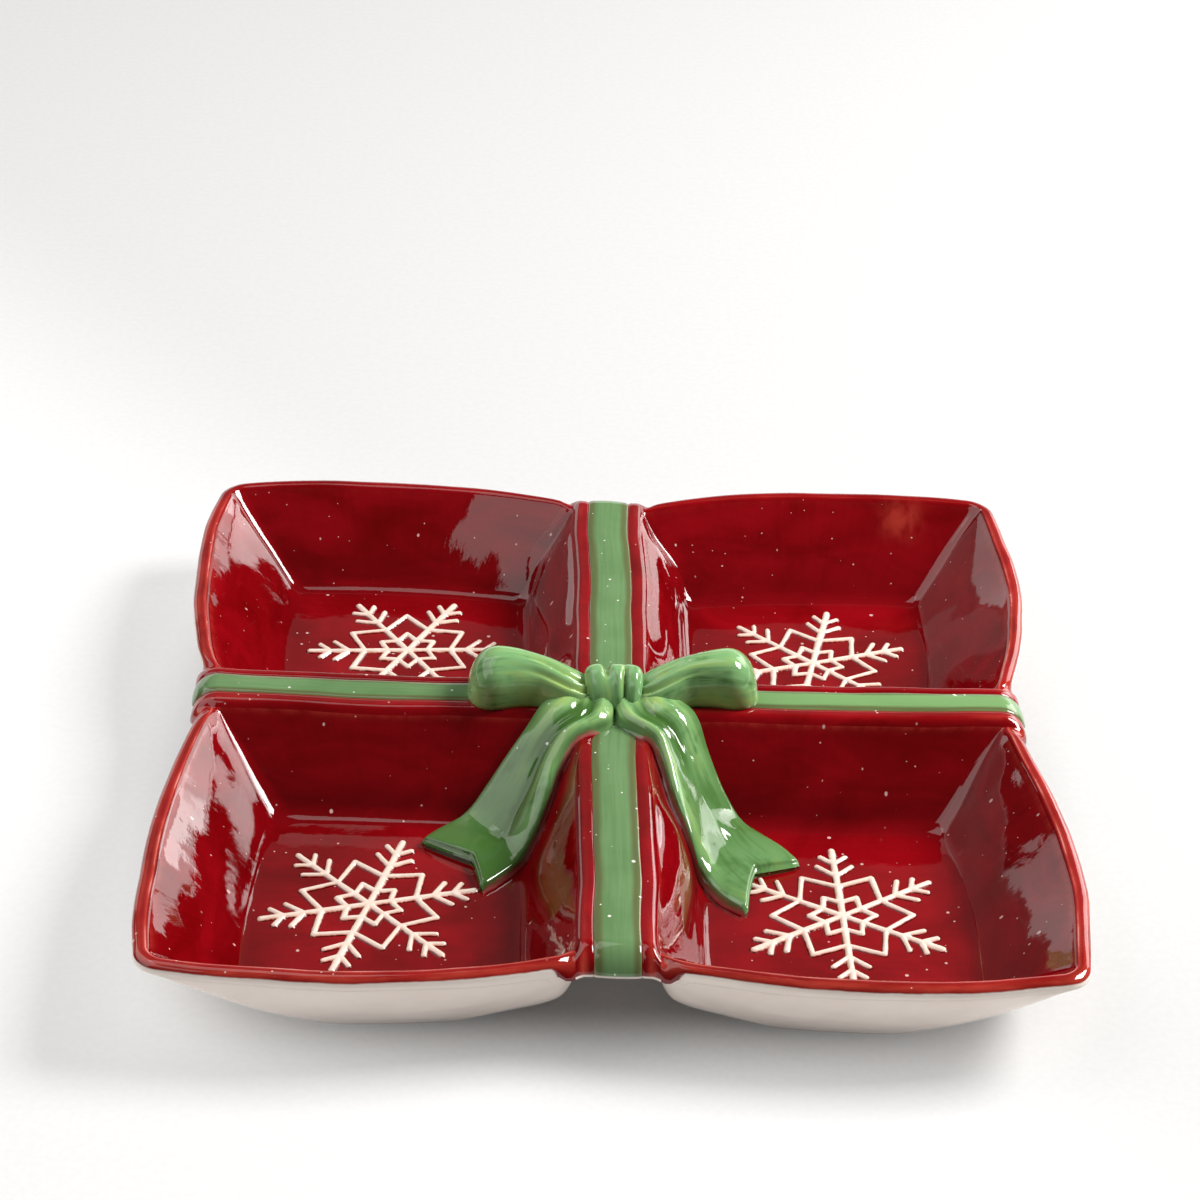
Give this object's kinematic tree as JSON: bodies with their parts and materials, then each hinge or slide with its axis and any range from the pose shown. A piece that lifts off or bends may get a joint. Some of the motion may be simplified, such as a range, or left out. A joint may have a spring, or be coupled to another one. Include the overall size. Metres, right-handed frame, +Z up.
{
  "type": "divided serving bowl",
  "caption": "Square glazed ceramic serving dish whose wells meet under a raised ribbon cross with a modelled bow, tails and snowflake relief, for snacks.",
  "frame": {"origin": "middle of the dish, under the crossing of the straps, on the plane that the feet stand on", "axes": "+Z up; +X to the right and +Y to the back, along the two straps; the bow's tails fall toward -Y"},
  "size_m": [0.2974, 0.2974, 0.0534],
  "materials": {
    "red_glaze": "gloss",
    "ribbon_glaze": "gloss",
    "bow_glaze": "gloss",
    "cream_glaze": "gloss"
  },
  "bodies": {
    "root": {"bowl_front_left": "red_glaze", "bowl_front_right": "red_glaze", "bowl_back_left": "red_glaze", "bowl_back_right": "red_glaze", "bridge_front": "red_glaze", "bridge_back": "red_glaze", "bridge_left": "red_glaze", "bridge_right": "red_glaze", "bridge_centre": "red_glaze", "ribbon_front": "ribbon_glaze", "ribbon_back": "ribbon_glaze", "ribbon_left": "ribbon_glaze", "ribbon_right": "ribbon_glaze", "bow_loop_left": "bow_glaze", "bow_loop_right": "bow_glaze", "bow_knot": "bow_glaze", "bow_tail_left": "bow_glaze", "bow_tail_right": "bow_glaze", "snowflake_front_left": "cream_glaze", "snowflake_front_right": "cream_glaze", "snowflake_back_left": "cream_glaze", "snowflake_back_right": "cream_glaze"}
  },
  "joints": []
}
